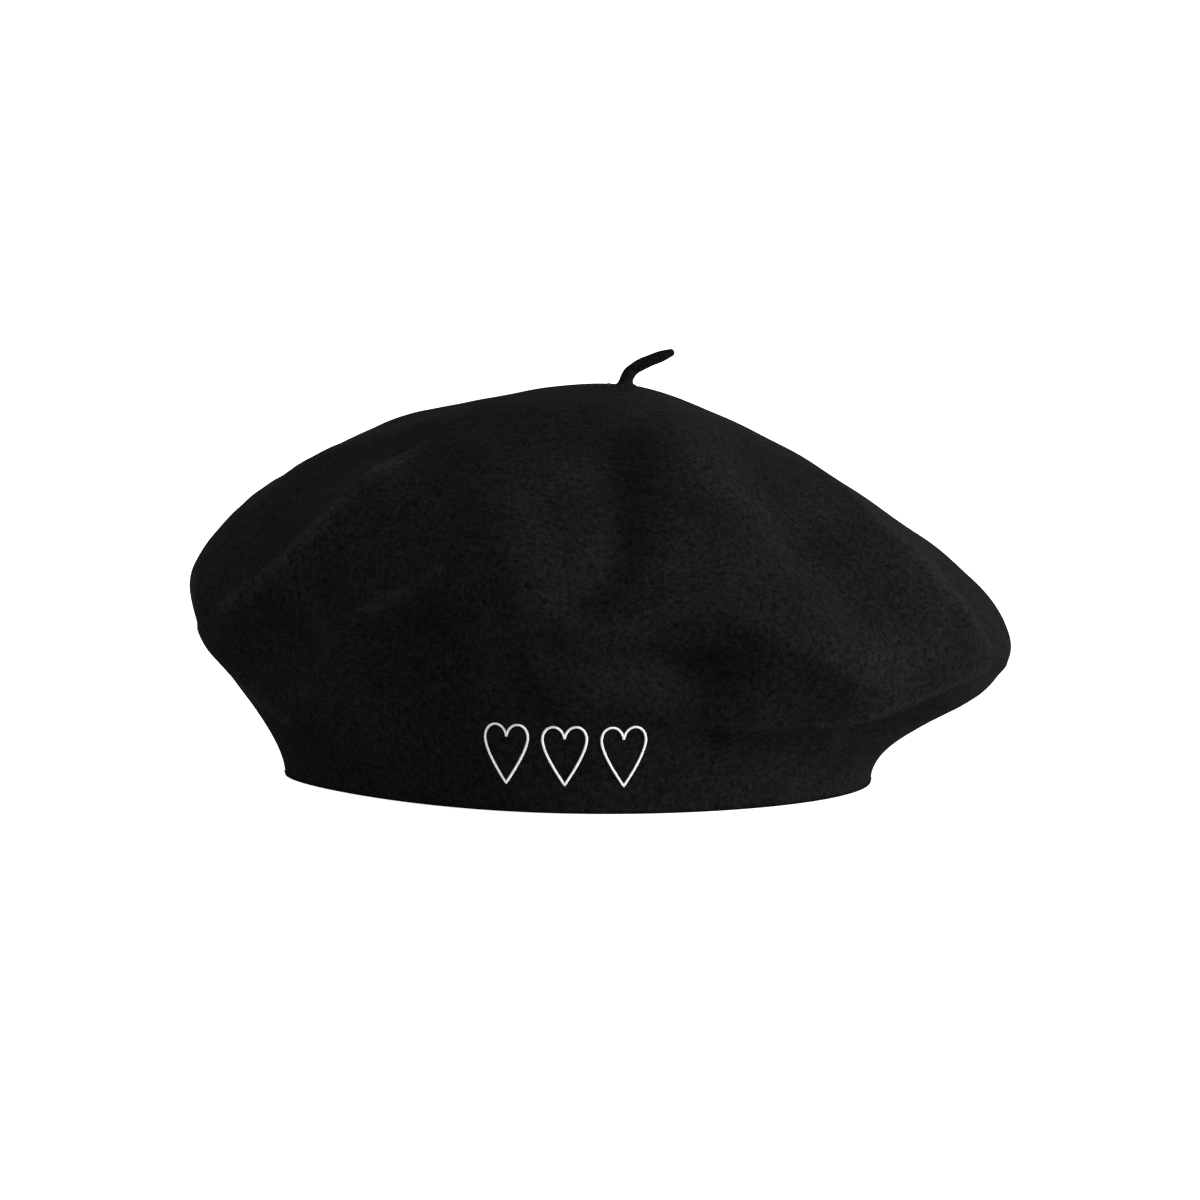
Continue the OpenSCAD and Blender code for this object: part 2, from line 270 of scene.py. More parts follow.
def front_crests():
    """Thin rolls along the sharpest folds, where the felt is creased sharp. Their heights also set
    where the felt is painted lighter, a painted highlight along these crests.
    """
    m = FaceMap()
    m.stroke([(-109, 57), (-98, 64), (-86, 73), (-73, 85), (-61, 96), (-49, 106)], 1.0, 1.3, 1.9)
    m.stroke([(-120, 66), (-117, 55), (-112, 42), (-106, 32), (-97, 24), (-90, 19)], 0.9, 1.4, 1.7)
    m.stroke([(-69, 53), (-56, 60), (-44, 67)], 0.7, 1.4, 1.8)
    m.stroke([(92, 83), (106, 71), (118, 58), (129, 46)], 0.9, 1.3, 1.7)
    m.stroke([(124, 35), (109, 29), (92, 24), (75, 21)], 0.9, 1.3, 1.7)
    return m


def back_folds():
    m = FaceMap()
    m.stroke([(-110, 62), (-84, 76), (-58, 92), (-30, 106)], 3.4, 8, 13, crisp=1.6)
    m.stroke([(-70, 50), (-52, 66), (-30, 84)], -4.0, 11, 11)
    m.stroke([(-28, 40), (-20, 64), (-8, 90)], 4.0, 10, 12, crisp=1.7)
    m.dent(-48, 40, 4.5, 16, 13)
    m.stroke([(28, 36), (36, 60), (34, 88)], 3.6, 11, 10, crisp=1.7)
    m.stroke([(60, 84), (84, 64), (112, 48)], 3.4, 12, 9, crisp=1.6)
    m.dent(66, 40, 4.5, 18, 12)
    m.stroke([(8, 102), (14, 78)], -3.0, 12, 12)
    m.keep_plain(0, 26, 32, 24)
    return m


FRONT_FOLDS, FRONT_CRESTS, BACK_FOLDS = front_folds(), front_crests(), back_folds()


def ease(t):
    t = np.clip(t, 0, 1)
    return t * t * (3 - 2 * t)


# Slight unevenness all over: wavelengths and heights in millimetres, three waves of each.
WAVE_SIZES = ((70, 0.7), (55, 0.6), (42, 0.45), (33, 0.35), (26, 0.28), (19, 0.18), (14, 0.1))
WAVE_SHARE = 0.35
TOP_SWELL = 0.7 * MM       # the small mound that the tail stands on
WAVES = [
    (
        np.array([random.uniform(-1, 1) for _ in range(3)]) * 2 * math.pi / (length * MM),
        random.uniform(0, 2 * math.pi),
        size * MM,
    )
    for length, size in WAVE_SIZES
    for _ in range(3)
]


def folded(a, v, crests=True):
    """Points of the outer surface with its folds and its slight unevenness. The inner skin runs
    under the thin crests without following them."""
    p = skin(a, v)
    n = facing(skin, a, v)
    rise = p[:, 2] + FACE_LEAN * p[:, 1]
    to_front = ease((12 * MM - p[:, 1]) / (36 * MM))
    lift = to_front * FRONT_FOLDS.at(p[:, 0], rise)
    if crests:
        lift += to_front * FRONT_CRESTS.at(p[:, 0], rise)
    lift += (1 - to_front) * BACK_FOLDS.at(p[:, 0], p[:, 2] - FACE_LEAN * p[:, 1])
    for k, phase, size in WAVES:
        lift += size * np.sin(p @ k + phase) * WAVE_SHARE
    # the band zone keeps its form, and so does the felt round the tail
    lift *= ease((p[:, 2] - 6 * MM) / (26 * MM))
    from_top = np.linalg.norm(p[:, :2] - np.array(CROWN)[:2], axis=1)
    lift *= ease((from_top - 3 * MM) / (22 * MM))
    lift += TOP_SWELL * np.exp(-((from_top / (4.5 * MM)) ** 2))
    return p + lift[:, None] * n


def plain_folded(a, v):
    return folded(a, v, crests=False)


def crest_share(a, v):
    """0 away from the thin crests and 1 along them: the mask of the painted highlight on the felt.
    """
    p = skin(a, v)
    return FRONT_CRESTS.at(p[:, 0], p[:, 2] + FACE_LEAN * p[:, 1]) / MM * (p[:, 1] < 0)


HEM_RISE = 3.2 * MM
HEM_RISE_AT = -2.7
HEM_RISE_REACH = 0.8


def hem_rise(a):
    """How far the hem lifts off the table. The felt hangs from the left of the crown and draws
    it up a little there."""
    away = (a - HEM_RISE_AT + math.pi) % (2 * math.pi) - math.pi
    return HEM_RISE * np.exp(-((away / HEM_RISE_REACH) ** 2))


def draw_up(bm):
    """Lifts a piece that is sewn to the hem along with it."""
    for v in bm.verts:
        v.co.z += hem_rise(math.atan2(v.co.y, v.co.x))


# ---- Mesh helpers ----


def new_object(name, bm, smooth=True):
    mesh = bpy.data.meshes.new(name)
    bm.to_mesh(mesh)
    bm.free()
    obj = bpy.data.objects.new(name, mesh)
    bpy.context.scene.collection.objects.link(obj)
    for poly in mesh.polygons:
        poly.use_smooth = smooth
    return obj


def thicken(obj, thickness):
    """Gives a sheet its thickness, half to each side."""
    wall = obj.modifiers.new("wall", "SOLIDIFY")
    wall.thickness = thickness
    wall.offset = 0


def short_thread():
    """A ball of radius 1 that each stitch is stretched from."""
    bm = bmesh.new()
    bmesh.ops.create_uvsphere(bm, u_segments=8, v_segments=7, radius=1)
    mesh = bpy.data.meshes.new("short_thread")
    bm.to_mesh(mesh)
    bm.free()
    return mesh


SHORT_THREAD = short_thread()


def add_thread(bm, matrix):
    mesh = SHORT_THREAD.copy()
    mesh.transform(matrix)
    bm.from_mesh(mesh, face_normals=False)
    bpy.data.meshes.remove(mesh)


# ---- Felt shell ----

AROUND = 416
UPPER_ROWS = 122
LOWER_ROWS = 68
INNER_ROWS = 36
EDGE_ROWS = 9
FRONT_CROWDING = 0.33
RISE_FADE = 45 * MM        # height over which the hem's rise dies out


def felt_shell():
    """A spoke spun into a disc and draped to the crown's form. From the disc's centre outwards it
    is the outer skin, the hem's round edge and the inner skin, which closes under the top."""
    outer = [2 - i / UPPER_ROWS for i in range(UPPER_ROWS)]
    outer += [1 - i / LOWER_ROWS for i in range(LOWER_ROWS + 1)]
    inner = [2 * (i / INNER_ROWS) for i in range(INNER_ROWS + 1)]
    rows = len(outer) + EDGE_ROWS + len(inner)
    bm = bmesh.new()
    spoke = [bm.verts.new((i / rows, 0, 0)) for i in range(rows)]
    edges = [bm.edges.new(pair) for pair in zip(spoke[:-1], spoke[1:])]
    bmesh.ops.spin(
        bm, geom=spoke + edges, cent=(0, 0, 0), axis=(0, 0, 1), angle=2 * math.pi,
        steps=AROUND, use_merge=True, use_duplicate=False,
    )
    bmesh.ops.remove_doubles(bm, verts=bm.verts, dist=1e-5)
    flat = np.array([v.co[:] for v in bm.verts])
    row = np.rint(np.hypot(flat[:, 0], flat[:, 1]) * rows).astype(int)
    a = np.arctan2(flat[:, 1], flat[:, 0])
    # closer together in front, where the folds are finest
    a -= FRONT_CROWDING * np.cos(a)
    out = np.stack([np.cos(a), np.sin(a), 0 * a], axis=1)
    v_outer = np.array(outer + [0] * (rows - len(outer)))[row]
    v_inner = np.array([0] * (len(outer) + EDGE_ROWS) + inner)[row]
    place = folded(a, v_outer)
    depth_in = plain_folded(a, v_inner) - FELT_T * facing(plain_folded, a, v_inner)
    is_inner = row >= len(outer) + EDGE_ROWS
    place = np.where(is_inner[:, None], depth_in, place)
    # the hem's edge: a half round a little fatter than the wall, flat where it rests
    turn = (row - len(outer) + 1) / (EDGE_ROWS + 1)
    is_edge = (row >= len(outer)) & (row < len(outer) + EDGE_ROWS)
    roll = math.pi * turn
    mid = WALL_R - FELT_T / 2
    half = (HEM_OUT - HEM_IN) / 2
    drop = np.maximum(1.5 * MM - 1.9 * MM * np.sin(roll), 0.02 * MM)
    rim = (mid + half * np.cos(roll))[:, None] * out + drop[:, None] * np.array([0, 0, 1])
    place = np.where(is_edge[:, None], rim, place)
    top = np.array(CROWN) + np.array([0, 0, TOP_SWELL])
    place[row == 0] = top
    place[row == rows - 1] = top - np.array([0, 0, FELT_T])
    place[:, 2] += hem_rise(a) * (1 - np.clip(place[:, 2] / RISE_FADE, 0, 1))
    for vert, p in zip(bm.verts, place):
        vert.co = p
    # painted highlight: each outer vertex stores how near it lies to a thin crest, and the felt's
    # colour is made lighter there to stand in for light caught on the crests
    painted_crest_highlight = bm.verts.layers.float.new("painted_crest_highlight")
    crest_highlight_share = crest_share(a, v_outer) * (row < len(outer))
    for vert, value in zip(bm.verts, crest_highlight_share):
        vert[painted_crest_highlight] = value
    bmesh.ops.remove_doubles(bm, verts=bm.verts, dist=1e-6)
    bmesh.ops.recalc_face_normals(bm, faces=bm.faces)
    return new_object("felt_shell", bm)


# ---- Tail ----

TAIL_ROOT_R = 2.3 * MM
TAIL_TIP_R = 1.75 * MM
TAIL_TIP = Vector(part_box("felt_tail")[1])


def tail_line(t):
    """The tail's centre line, up from the felt and over to the right."""
    root = Vector((TAIL_PIVOT.x + 1.3 * MM, TAIL_PIVOT.y, CROWN.z - 0.6 * MM))
    tip = Vector((TAIL_TIP.x - 0.2 * MM, TAIL_PIVOT.y, TAIL_TIP.z - 2.4 * MM))
    p = [root, root + Vector((0, 0, 6 * MM)), root + Vector((3.7 * MM, 0, 7.2 * MM)), tip]
    return (
        (1 - t) ** 3 * p[0] + 3 * t * (1 - t) ** 2 * p[1] + 3 * t * t * (1 - t) * p[2] + t**3 * p[3]
    )


def ring_matrix(centre, along):
    return Matrix.Translation(centre) @ along.to_track_quat("Z", "Y").to_matrix().to_4x4()


def tail_piece():
    """Rings from a spread foot on the felt, up the stalk, to a blunt tip."""
    bm = bmesh.new()
    sides = 28
    stations = []
    steps = 46
    for i in range(steps + 1):
        t = (i / steps) ** 1.25
        along = (tail_line(min(t + 0.01, 1)) - tail_line(max(t - 0.01, 0))).normalized()
        r = TAIL_ROOT_R + (TAIL_TIP_R - TAIL_ROOT_R) * t
        r *= 1 + 0.03 * math.sin(9 * t + 1) + 0.02 * math.sin(23 * t)
        r *= 1 - 0.25 * max(0, (t - 0.86) / 0.14) ** 2
        r += 2.4 * MM * max(0, 1 - t / 0.16) ** 3
        stations.append((tail_line(t), along, r))
    end, along, r = stations[-1]
    for turn in (0.35, 0.7, 1.05, 1.3, 1.48):
        stations.append((end + along * r * 0.9 * math.sin(turn), along, r * math.cos(turn)))
    loops = []
    for centre, along, r in stations:
        made = bmesh.ops.create_circle(
            bm, cap_ends=False, segments=sides, radius=r, matrix=ring_matrix(centre, along)
        )
        loops.append(list({e for v in made["verts"] for e in v.link_edges}))
    for low, high in zip(loops[:-1], loops[1:]):
        bmesh.ops.bridge_loops(bm, edges=low + high)
    for loop in (loops[0], loops[-1]):
        bmesh.ops.edgeloop_fill(bm, edges=loop)
    bmesh.ops.recalc_face_normals(bm, faces=bm.faces)
    return new_object("tail", bm)


# ---- Hearts ----

HEART_W = 15.1 * MM
HEART_H = 19.9 * MM
THREAD_W = 1.05 * MM
HEART_PITCH = 18.7 * MM
HEART_TIP = 9.2 * MM
ROW_SHIFT = -4.1 * MM
ROW_DROP = 0.45 * MM


def heart_half(t):
    """Half of a heart's line in the flat, from its tip to its notch."""
    w, h = HEART_W / 2 - THREAD_W / 2, HEART_H - THREAD_W
    if t <= 0.5:
        pts, s = [(0, 0), (0.45 * w, 0.25 * h), (0.97 * w, 0.58 * h), (w, 0.78 * h)], 2 * t
    else:
        pts, s = [(w, 0.78 * h), (w, 1.07 * h), (0.12 * w, 1.09 * h), (0, 0.8 * h)], 2 * t - 1
    k = [(1 - s) ** 3, 3 * s * (1 - s) ** 2, 3 * s * s * (1 - s), s**3]
    return sum(a * p[0] for a, p in zip(k, pts)), sum(a * p[1] for a, p in zip(k, pts))


def heart_line(count):
    """Points evenly spaced along the whole outline, up the right side and down the left."""
    half = [heart_half(i / 200) for i in range(201)]
    whole = half + [(-x, y) for x, y in reversed(half[:-1])]
    reach = [0.0]
    for p, q in zip(whole[:-1], whole[1:]):
        reach.append(reach[-1] + math.dist(p, q))
    xs = np.interp(np.linspace(0, reach[-1], count, endpoint=False), reach, [p[0] for p in whole])
    ys = np.interp(np.linspace(0, reach[-1], count, endpoint=False), reach, [p[1] for p in whole])
    return xs, ys


def v_at(a, z):
    """The v at which the wall below the rim reaches height z."""
    low, high = np.zeros_like(z), np.ones_like(z)
    for _ in range(22):
        mid = (low + high) / 2
        above = skin(a, mid)[:, 2] > z
        high = np.where(above, mid, high)
        low = np.where(above, low, mid)
    return (low + high) / 2


def on_front(x, z):
    """Places and normals on the felt's front, from distances to the right and heights."""
    front = np.full_like(z, FRONT)
    radius = -skin(front, v_at(front, z))[:, 1]
    a = front + x / radius
    v = v_at(a, z)
    return folded(a, v), facing(folded, a, v)


STITCH_GAP = 0.36 * MM
HEART_OUTLINE = 56 * MM
SATIN_HALF = (0.24 * MM, 0.28 * MM)    # half of a thread's width, and of its height
SATIN_SEAT = 0.16 * MM


def heart_piece(name, place):
    """One outline in satin stitch: short threads side by side across the line."""
    count = int(HEART_OUTLINE / STITCH_GAP)
    xs, ys = heart_line(count)
    xs = xs + ROW_SHIFT + place * HEART_PITCH
    ys = ys + HEART_TIP + THREAD_W / 2 - place * ROW_DROP
    points, normals = on_front(xs, ys)
    bm = bmesh.new()
    for i in range(count):
        along = Vector(points[(i + 1) % count] - points[i - 1]).normalized()
        out = Vector(normals[i])
        across = along.cross(out).normalized()
        slant = (across + 0.35 * along).normalized()
        up = slant.cross(out.cross(slant)).normalized()
        if up.dot(out) < 0:
            up = -up
        side = up.cross(slant)
        jitter = 1 + 0.06 * random.uniform(-1, 1)
        turn = Matrix((slant, side, up)).transposed().to_4x4()
        size = Matrix.Diagonal((THREAD_W * 0.43 * jitter, *SATIN_HALF, 1))
        seat = Matrix.Translation(Vector(points[i]) + out * SATIN_SEAT)
        add_thread(bm, seat @ turn @ size)
    return new_object(name, bm)


# ---- Threads ----


def lay_stitch(bm, start, end, thickness, up=Vector((0, 0, 1))):
    """One short thread from start to end, fuller in the middle. up is its flatter side."""
    start, end = Vector(start), Vector(end)
    along = end - start
    x = along.normalized()
    y = Vector(up).cross(x).normalized()
    z = x.cross(y)
    turn = Matrix((x, y, z)).transposed().to_4x4()
    size = Matrix.Diagonal((along.length / 2, thickness / 2, thickness / 2, 1))
    add_thread(bm, Matrix.Translation((start + end) / 2) @ turn @ size)


# ---- Sweatband ----

RIB = 0.95 * MM
RIB_RISE = 0.13 * MM
SELVEDGE = 0.9 * MM
JOIN_GAP = 0.5 * MM
BACK = math.pi / 2


def ribbon(name, r_in, r_out, foot, head, middle, reach):
    """A length of grosgrain on edge round the head: cords across it, and a plain selvedge above
    and below. middle and reach are the azimuth of its middle and the angle it covers."""
    thick = r_out - r_in
    section = [
        (0.15, 0), (0.85, 0), (1, 0.12 * MM), (1, SELVEDGE), (1, SELVEDGE + 0.25 * MM),
        (1, head - foot - SELVEDGE - 0.25 * MM), (1, head - foot - SELVEDGE),
        (1, head - foot - 0.12 * MM), (0.85, head - foot), (0.15, head - foot),
        (0, head - foot - 0.12 * MM), (0, head - foot - SELVEDGE),
        (0, head - foot - SELVEDGE - 0.25 * MM), (0, SELVEDGE + 0.25 * MM), (0, SELVEDGE),
        (0, 0.12 * MM),
    ]
    bm = bmesh.new()
    share = bm.verts.layers.float.new("share")
    loop = [bm.verts.new((r_in + thick * u, 0, foot + h)) for u, h in section]
    for v, (u, _) in zip(loop, section):
        v[share] = u
    edges = [bm.edges.new(pair) for pair in zip(loop, loop[1:] + loop[:1])]
    start = middle - reach / 2
    bmesh.ops.rotate(bm, verts=bm.verts, cent=(0, 0, 0), matrix=Matrix.Rotation(start, 3, "Z"))
    ribs = round(reach * r_in / RIB)
    steps = max(4, round(reach * 24))
    spun = bmesh.ops.spin(
        bm, geom=loop + edges, cent=(0, 0, 0), axis=(0, 0, 1), angle=reach,
        steps=steps, use_merge=False, use_duplicate=False,
    )
    last = [g for g in spun["geom_last"] if isinstance(g, bmesh.types.BMEdge)]
    for end in (edges, last):
        bmesh.ops.edgeloop_fill(bm, edges=end)
    # the long edges, which run round the head, are cut until each cord has four steps
    level = [e for e in bm.edges if abs(e.verts[0].co.z - e.verts[1].co.z) < 1e-7
             and e.calc_length() > reach * r_in / steps * 0.7]
    bmesh.ops.subdivide_edges(bm, edges=level, cuts=round(ribs * 4 / steps) - 1, use_grid_fill=True)
    for v in bm.verts:
        a = math.atan2(v.co.y, v.co.x)
        turn = (a - start + 0.01) % (2 * math.pi) - 0.01
        wave = 0.5 - 0.5 * math.cos(turn / reach * ribs * 2 * math.pi)
        h = v.co.z - foot
        plain = min(h, head - foot - h) <= SELVEDGE + 0.1 * MM
        sink = RIB_RISE * (0.6 - 0.25 * wave if plain else 1 - wave) / thick
        u = v[share]
        r = r_in + thick * (u - sink if u > 0.5 else u + sink)
        v.co.x, v.co.y = r * math.cos(a), r * math.sin(a)
    draw_up(bm)
    bmesh.ops.recalc_face_normals(bm, faces=bm.faces)
    return new_object(name, bm)


STITCH_COUNT = 84
STITCH_SLANT = math.radians(16)
STITCH_HALF = 1.2 * MM
STITCH_T = 0.42 * MM


def band_stitch_row():
    """Slanted stitches that sew the band's lower edge to the hem, all round."""
    bm = bmesh.new()
    r = BAND_R + 0.45 * MM
    for i in range(STITCH_COUNT):
        a = (i + 0.5) * 2 * math.pi / STITCH_COUNT
        out = Vector((math.cos(a), math.sin(a), 0))
        side = Vector((-math.sin(a), math.cos(a), 0))
        slant = side * math.cos(STITCH_SLANT) + Vector((0, 0, math.sin(STITCH_SLANT)))
        step = STITCH_HALF * slant
        mid = r * out + Vector((0, 0, BAND_FOOT / 2))
        lay_stitch(bm, mid - step, mid + step, STITCH_T, up=out)
    draw_up(bm)
    return new_object("hem_sewing", bm)


# ---- Tail's fastening ----


def near_top(a, distance):
    """A place on the felt at a distance from the crown's top, and the normal there."""
    v = np.linspace(1.5, 2, 400)
    p = skin(np.full_like(v, a), v)
    away = np.linalg.norm(p[:, :2] - np.array(CROWN)[:2], axis=1)
    found = np.interp(distance, away[::-1], v[::-1])
    at = np.array([float(a)]), np.array([found])
    return Vector(folded(*at)[0]), Vector(facing(folded, *at)[0])


TAIL_STITCHES = 6
TAIL_STITCH_FROM = 4 * MM
TAIL_STITCH_TO = 6 * MM


def tail_sewing():
    """Small stitches that catch the spread foot of the tail to the felt."""
    bm = bmesh.new()
    for i in range(TAIL_STITCHES):
        a = (i + 0.5) * math.tau / TAIL_STITCHES
        p, n = near_top(a, TAIL_STITCH_FROM)
        q, _ = near_top(a + 0.12, TAIL_STITCH_TO)
        lay_stitch(bm, p + n * 0.3 * MM, q + n * 0.05 * MM, 0.5 * MM, up=n)
    return new_object("tail_sewing", bm)


CROSSED_THREADS = 9
WOUND_THREADS = 14


def darned_knot():
    """The yarn's end fastened off inside the crown: a button of crossed and wound threads."""
    low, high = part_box("tail_knot")
    mid = (low + high) / 2
    r = (high.x - low.x) / 2
    bm = bmesh.new()
    core = Matrix.Translation(mid) @ Matrix.Diagonal((r * 0.82, r * 0.82, 0.75 * MM, 1))
    bmesh.ops.create_uvsphere(bm, u_segments=24, v_segments=12, radius=1, matrix=core)
    for i in range(CROSSED_THREADS):
        a = i * math.pi / CROSSED_THREADS + random.uniform(-0.08, 0.08)
        d = Vector((math.cos(a), math.sin(a), 0)) * r * random.uniform(0.86, 0.97)
        off = Vector((-math.sin(a), math.cos(a), 0)) * random.uniform(-0.5, 0.5) * MM
        dip = Vector((0, 0, -0.5 * MM))
        lay_stitch(bm, mid - d + off + dip, mid + d + off + dip, 0.55 * MM)
    for i in range(WOUND_THREADS):
        a, b = i * math.tau / WOUND_THREADS, (i + 1.35) * math.tau / WOUND_THREADS
        ring = r * 0.88
        lay_stitch(
            bm,
            mid + Vector((math.cos(a), math.sin(a), 0)) * ring,
            mid + Vector((math.cos(b), math.sin(b), 0)) * ring,
            0.6 * MM,
        )
    return new_object("darned_knot", bm)


# ---- Stabiliser behind the hearts ----

BACKING_T = 0.35 * MM
BACKING_MARGIN = 4 * MM


def stabiliser():
    """The torn-away sheet left behind the embroidery, with a ragged edge."""
    bm = bmesh.new()
    cols, rows = 96, 40
    bmesh.ops.create_grid(bm, x_segments=cols, y_segments=rows, size=1)
    half = HEART_PITCH + HEART_W / 2 + BACKING_MARGIN
    foot, head = HEART_TIP - 1 * MM, HEART_TIP + HEART_H + BACKING_MARGIN
    flat = np.array([v.co[:] for v in bm.verts])
    edge = np.maximum(np.abs(flat[:, 0]) ** 8, np.abs(flat[:, 1]) ** 8)
    torn_up = 0.7 * MM * edge * np.sin(61 * flat[:, 0] + 3 * np.sin(23 * flat[:, 1]))
    torn_side = 0.6 * MM * edge * np.sin(47 * flat[:, 1] + 4 * np.sin(19 * flat[:, 0]))
    x = ROW_SHIFT + flat[:, 0] * (half - 1 * MM) + torn_side
    z = foot + (head - foot - 2 * MM) * (flat[:, 1] + 1) / 2 + 1 * MM + torn_up
    points, normals = on_front(x, z)
    depth = FELT_T + 0.3 * MM + BACKING_T / 2
    for v, p, n in zip(bm.verts, points, normals):
        v.co = p - depth * n
    sheet = new_object("stabiliser", bm)
    thicken(sheet, BACKING_T)
    return sheet


# ---- Label ----

LABEL_T = 1 * MM
LABEL_LEAF = 0.34 * MM
LABEL_STITCHES = 5


def folded_label():
    """A blank woven tape, folded at its free end, with both ends sewn at the band."""
    hinge = Vector(JOINTS["label_flip"]["pos_m"])
    low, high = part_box("care_label")
    width = high.x - low.x
    lean = math.atan2(high.z - hinge.z, high.y - hinge.y)
    for _ in range(4):
        lean = math.atan2(
            high.z - hinge.z - LABEL_T / 2 * math.cos(lean),
            high.y - hinge.y - LABEL_T / 2 * math.sin(lean),
        )
    length = (high.y - hinge.y - LABEL_T / 2 * math.sin(lean)) / math.cos(lean)
    bm = bmesh.new()
    cols, rows = 52, 120
    bmesh.ops.create_grid(bm, x_segments=cols, y_segments=rows, size=1)
    bend = (LABEL_T - LABEL_LEAF) / 2
    arc = math.pi * bend
    straight = length - bend - LABEL_LEAF / 2
    total = 2 * straight + arc
    for v in bm.verts:
        u, s = v.co.x, (v.co.y + 1) / 2 * total
        if s < straight:
            along, up = s, -bend
        elif s < straight + arc:
            t = (s - straight) / bend
            along, up = straight + bend * math.sin(t), -bend * math.cos(t)
        else:
            along, up = total - s, bend
        # the two leaves close up at the seam
        up *= 0.62 + 0.38 * min(1, along / (6 * MM))
        up += 0.05 * MM * math.sin(along * 600 + u * 2)
        v.co = (u * (width / 2 - 0.1 * MM), along, up)
    bmesh.ops.transform(
        bm, verts=bm.verts,
        matrix=Matrix.Translation(hinge) @ Matrix.Rotation(lean, 4, "X"),
    )
    label = new_object("folded_label", bm)
    thicken(label, LABEL_LEAF)
    return label


def label_sewing():
    """Stitches over the band's upper edge that hold the label."""
    low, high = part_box("label_stitches")
    z = (low.z + high.z) / 2
    bm = bmesh.new()
    for i in range(LABEL_STITCHES):
        share = i / (LABEL_STITCHES - 1)
        x = low.x + (high.x - low.x) * i / (LABEL_STITCHES - 1)
        x += 0.2 * MM * (1 - 2 * share)
        lay_stitch(bm, (x, low.y, z), (x, high.y, z), 0.4 * MM)
    return new_object("label_sewing", bm)


# ---- Materials ----


def socket(tree, name, kind, default=None, into=True):
    s = tree.interface.new_socket(
        name=name, in_out="INPUT" if into else "OUTPUT", socket_type=kind
    )
    if default is not None:
        s.default_value = default
    return s


# how far the felt is painted lighter along the thin crests: a painted highlight standing in for
# light caught on them
CREST_HIGHLIGHT_GAIN = 0.7


def felt_group():
    """Fulled wool: a fine curly nap over a slow mottle, with a painted highlight along the thin
    crests. Puts out a colour and a height.
    """
    tree = bpy.data.node_groups.new("fulled_wool", "ShaderNodeTree")
    socket(tree, "Dark", "NodeSocketColor", (0.0022, 0.0022, 0.0023, 1))
    socket(tree, "Light", "NodeSocketColor", (0.0105, 0.0105, 0.0108, 1))
    socket(tree, "Nap Scale", "NodeSocketFloat", 620.0)
    socket(tree, "Mottle Scale", "NodeSocketFloat", 45.0)
    socket(tree, "Color", "NodeSocketColor", into=False)
    socket(tree, "Height", "NodeSocketFloat", into=False)
    nodes, links = tree.nodes, tree.links
    gin, gout = nodes.new("NodeGroupInput"), nodes.new("NodeGroupOutput")
    coords = nodes.new("ShaderNodeTexCoord")

    def noise(scale_from, factor, detail, distortion):
        n = nodes.new("ShaderNodeTexNoise")
        n.inputs["Detail"].default_value = detail
        n.inputs["Distortion"].default_value = distortion
        times = nodes.new("ShaderNodeMath")
        times.operation = "MULTIPLY"
        times.inputs[1].default_value = factor
        links.new(gin.outputs[scale_from], times.inputs[0])
        links.new(times.outputs[0], n.inputs["Scale"])
        links.new(coords.outputs["Object"], n.inputs["Vector"])
        return n

    curl = noise("Nap Scale", 1.0, 3.0, 0.5)
    fibre = noise("Nap Scale", 2.6, 2.0, 0.3)
    mottle = noise("Mottle Scale", 1.0, 2.0, 0.0)
    mix = nodes.new("ShaderNodeMix")
    mix.data_type = "FLOAT"
    mix.inputs[0].default_value = 0.4
    links.new(curl.outputs["Fac"], mix.inputs[2])
    links.new(fibre.outputs["Fac"], mix.inputs[3])
    ramp = nodes.new("ShaderNodeMapRange")
    ramp.inputs["From Min"].default_value = 0.34
    ramp.inputs["From Max"].default_value = 0.66
    links.new(mix.outputs[0], ramp.inputs["Value"])
    slow = nodes.new("ShaderNodeMapRange")
    slow.inputs["From Min"].default_value = 0.3
    slow.inputs["From Max"].default_value = 0.7
    slow.inputs["To Min"].default_value = 0.75
    slow.inputs["To Max"].default_value = 1.2
    links.new(mottle.outputs["Fac"], slow.inputs["Value"])
    fac = nodes.new("ShaderNodeMath")
    fac.operation = "MULTIPLY"
    fac.use_clamp = True
    links.new(ramp.outputs["Result"], fac.inputs[0])
    links.new(slow.outputs["Result"], fac.inputs[1])
    tint = nodes.new("ShaderNodeMix")
    tint.data_type = "RGBA"
    links.new(fac.outputs[0], tint.inputs["Factor"])
    links.new(gin.outputs["Dark"], tint.inputs[6])
    links.new(gin.outputs["Light"], tint.inputs[7])
    # painted highlight: the felt's colour is made up to about 1.7 times as light along the thin
    # crests, standing in for light that catches them
    painted_crest_highlight = nodes.new("ShaderNodeAttribute")
    painted_crest_highlight.attribute_name = "painted_crest_highlight"
    gain = nodes.new("ShaderNodeMath")
    gain.operation = "MULTIPLY_ADD"
    gain.inputs[1].default_value = CREST_HIGHLIGHT_GAIN
    gain.inputs[2].default_value = 1
    links.new(painted_crest_highlight.outputs["Fac"], gain.inputs[0])
    paler = nodes.new("ShaderNodeVectorMath")
    paler.operation = "SCALE"
    links.new(tint.outputs[2], paler.inputs[0])
    links.new(gain.outputs[0], paler.inputs["Scale"])
    links.new(paler.outputs[0], gout.inputs["Color"])
    links.new(mix.outputs[0], gout.inputs["Height"])
    return tree


FELT_GROUP = felt_group()


def shader(name, roughness, sheen=0.0, sheen_roughness=0.5):
    mat = bpy.data.materials.new(name)
    mat.use_nodes = True
    bsdf = mat.node_tree.nodes["Principled BSDF"]
    bsdf.inputs["Roughness"].default_value = roughness
    bsdf.inputs["Specular IOR Level"].default_value = 0.2
    bsdf.inputs["Sheen Weight"].default_value = sheen
    bsdf.inputs["Sheen Roughness"].default_value = sheen_roughness
    return mat, bsdf


